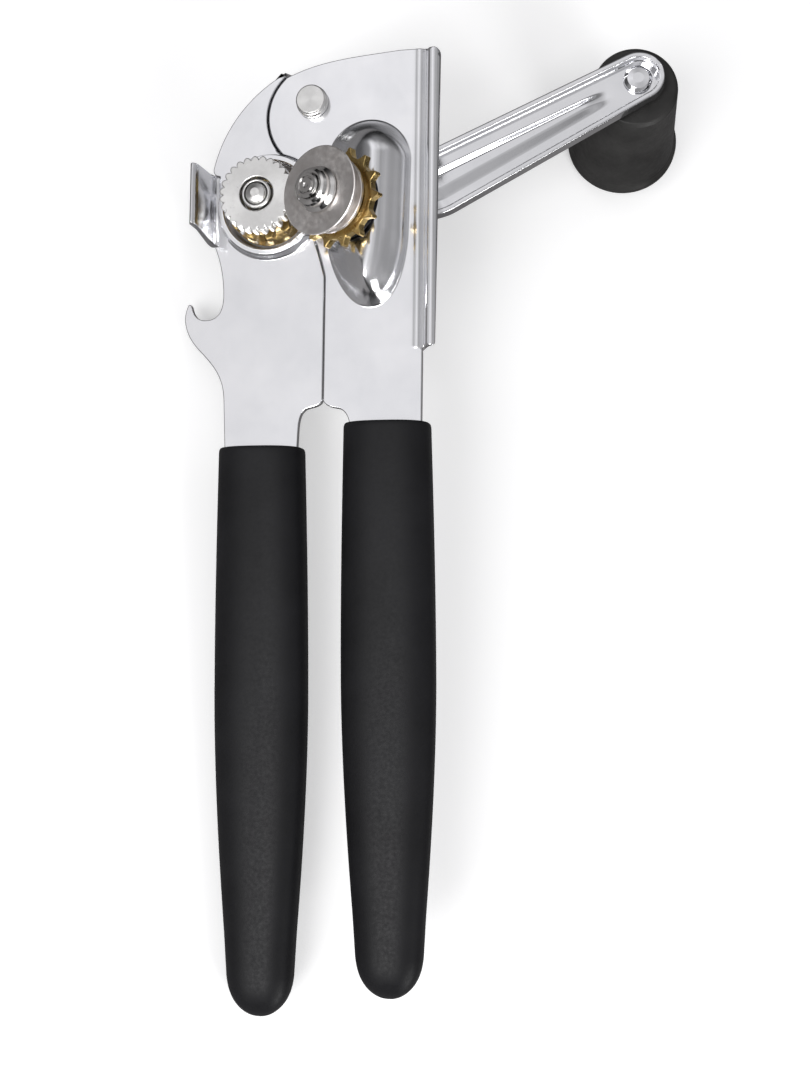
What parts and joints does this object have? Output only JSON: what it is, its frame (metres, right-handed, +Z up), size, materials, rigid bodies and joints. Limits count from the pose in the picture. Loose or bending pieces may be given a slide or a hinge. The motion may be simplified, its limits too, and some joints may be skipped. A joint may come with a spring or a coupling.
{
  "type": "manual can opener",
  "caption": "Hand-cranked can opener: plier-like plated head with serrated feed wheel, tilted geared cutter disc and bottle hook, black sleeve grips and a long crank with a tapered knob.",
  "frame": {"origin": "centre of the bounding box's bottom face, on the table the opener lies on", "axes": "+Y runs along the handles towards the head; +Z is up from the table; +X points to the crank's knob side"},
  "size_m": [0.1634, 0.2852, 0.0594],
  "materials": {
    "plate_chrome": "bright plating, mirror-like with fine waviness",
    "arm_chrome": "bright plating",
    "polished_chrome": "polished",
    "nickel": "matt nickel",
    "hard_steel": "ground, warm grey",
    "gear_brass": "bare, slightly dulled",
    "dark_steel": "blackened",
    "grip_vinyl": "matt soft vinyl",
    "knob_plastic": "semi-matt"
  },
  "bodies": {
    "cutter_handle": {"cutter_plate": "plate_chrome", "cutter_grip": "grip_vinyl", "pivot_rivet": "nickel", "cutter_stud": "polished_chrome", "cutter_spacer": "dark_steel"},
    "feed_handle": {"feed_plate": "plate_chrome", "feed_grip": "grip_vinyl", "pivot_washer": "nickel", "shaft_bushing": "hard_steel"},
    "cutter_wheel": {"cutter_hub": "polished_chrome", "cutter_disc": "hard_steel", "cutter_collar": "hard_steel", "cutter_gear": "gear_brass"},
    "crank": {"drive_shaft": "nickel", "feed_wheel": "nickel", "wheel_sleeve": "nickel", "wheel_collar": "hard_steel", "feed_gear": "gear_brass", "spring_washer": "hard_steel", "crank_hub": "arm_chrome", "crank_arm": "arm_chrome", "knob_pin": "arm_chrome", "knob_washer": "hard_steel", "knob_end_washer": "hard_steel"},
    "knob": {"crank_knob": "knob_plastic"}
  },
  "joints": [
    {"name": "handle_pivot", "type": "hinge", "parent": "feed_handle", "child": "cutter_handle", "pos_m": [-0.04985, 0.10232, 0.03192], "axis": [-0.6109, -0.0884, 0.7867], "range_deg": [0, 40]},
    {"name": "crank_spin", "type": "hinge", "parent": "feed_handle", "child": "crank", "pos_m": [-0.05762, 0.07383, 0.02269], "axis": [-0.6109, -0.0884, 0.7867], "continuous": true},
    {"name": "cutter_spin", "type": "hinge", "parent": "cutter_handle", "child": "cutter_wheel", "pos_m": [-0.05428, 0.07036, 0.04904], "axis": [-0.876, -0.081, 0.4754], "continuous": true},
    {"name": "knob_spin", "type": "hinge", "parent": "crank", "child": "knob", "pos_m": [0.04435, 0.12532, 0.05045], "axis": [-0.466, -0.0017, 0.8848], "continuous": true}
  ],
  "couplings": [
    {"joint": "cutter_spin", "follows": "crank_spin", "ratio": -0.85714}
  ]
}
